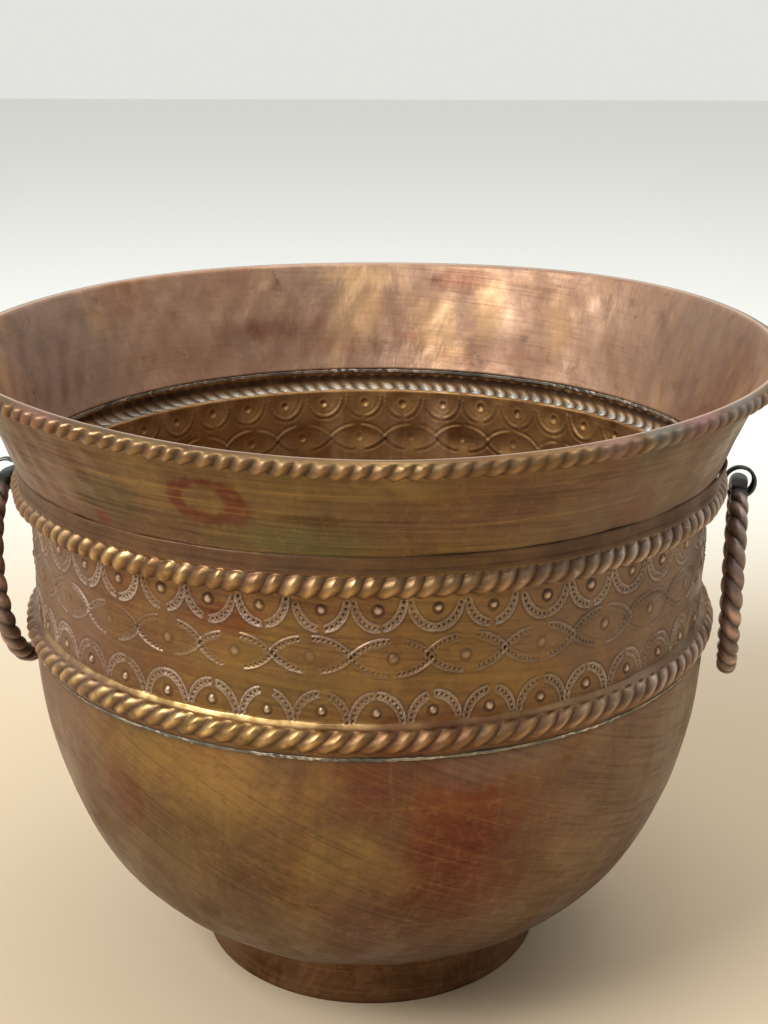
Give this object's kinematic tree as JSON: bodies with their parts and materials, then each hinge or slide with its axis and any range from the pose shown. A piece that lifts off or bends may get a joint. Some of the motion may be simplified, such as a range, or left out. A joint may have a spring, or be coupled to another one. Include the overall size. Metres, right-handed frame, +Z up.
{
  "type": "planter pot",
  "caption": "Wide sheet-metal planter pot with a flared rim, an embossed band between two rope beads, a foot ring and two hanging ring handles.",
  "frame": {"origin": "centre of the foot ring on the ground plane", "axes": "+Z up along the pot's axis; the two handles stand on the X axis, handle_right at +X"},
  "size_m": [0.3474, 0.3472, 0.2789],
  "materials": {
    "bowl_brass": "aged, satin brown with red copper patches",
    "foot_brass": "aged, dark amber brown, satin",
    "band_brass": "aged golden brown with pale residue in the stamped pattern",
    "neck_brass": "aged olive brown, brushed; pinkish brown inside",
    "steel_wire": "bare drawn wire, hidden in the rim",
    "solder": "dark tarnished soft solder with pale flecks",
    "dark_iron": "black iron strip, satin",
    "handle_metal": "dark brown with reddish copper highlights, black ends"
  },
  "bodies": {
    "pot": {"bowl": "bowl_brass", "foot_ring": "foot_brass", "decorated_band": "band_brass", "flared_neck": "neck_brass", "rim_wire": "steel_wire", "lower_seam_solder": "solder", "neck_seam_solder": "solder", "foot_seam_solder": "solder", "handle_eye_right": "dark_iron", "handle_eye_left": "dark_iron"},
    "ring_right": {"handle_right": "handle_metal"},
    "ring_left": {"handle_left": "handle_metal"}
  },
  "joints": [
    {"name": "handle_right_swing", "type": "hinge", "parent": "pot", "child": "ring_right", "pos_m": [0.16, 0, 0.215], "axis": [0, -1, 0], "range_deg": [-3, 160]},
    {"name": "handle_left_swing", "type": "hinge", "parent": "pot", "child": "ring_left", "pos_m": [-0.16, 0, 0.215], "axis": [0, 1, 0], "range_deg": [-0.5, 170]}
  ]
}
